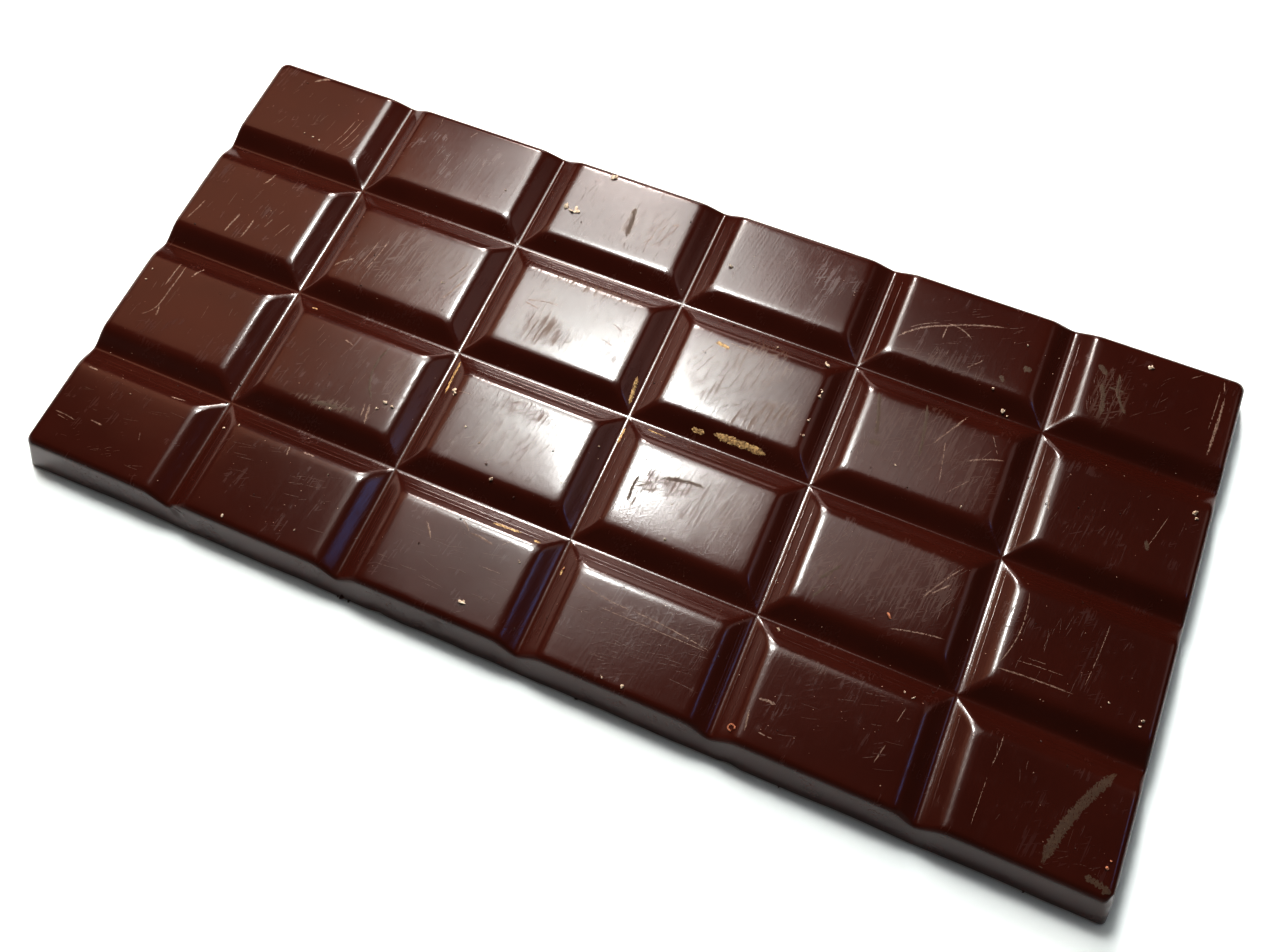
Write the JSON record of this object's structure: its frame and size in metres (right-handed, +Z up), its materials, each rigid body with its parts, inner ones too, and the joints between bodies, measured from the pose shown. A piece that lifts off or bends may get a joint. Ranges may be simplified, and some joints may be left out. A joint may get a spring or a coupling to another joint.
{
  "type": "chocolate bar",
  "caption": "Plain dark chocolate bar: a low slab with leaning sides and a grid of raised, round-edged blocks parted by V grooves for snapping.",
  "frame": {"origin": "centre of the flat base that the bar rests on", "axes": "+X along the bar's length, +Y across its width, +Z up out of the moulded face"},
  "size_m": [0.1616, 0.0782, 0.0068],
  "materials": {
    "dark_chocolate": "moulded dark brown chocolate, glossy with fine scratches and dull scuffs"
  },
  "bodies": {
    "root": {"chocolate_bar": "dark_chocolate"}
  },
  "joints": []
}
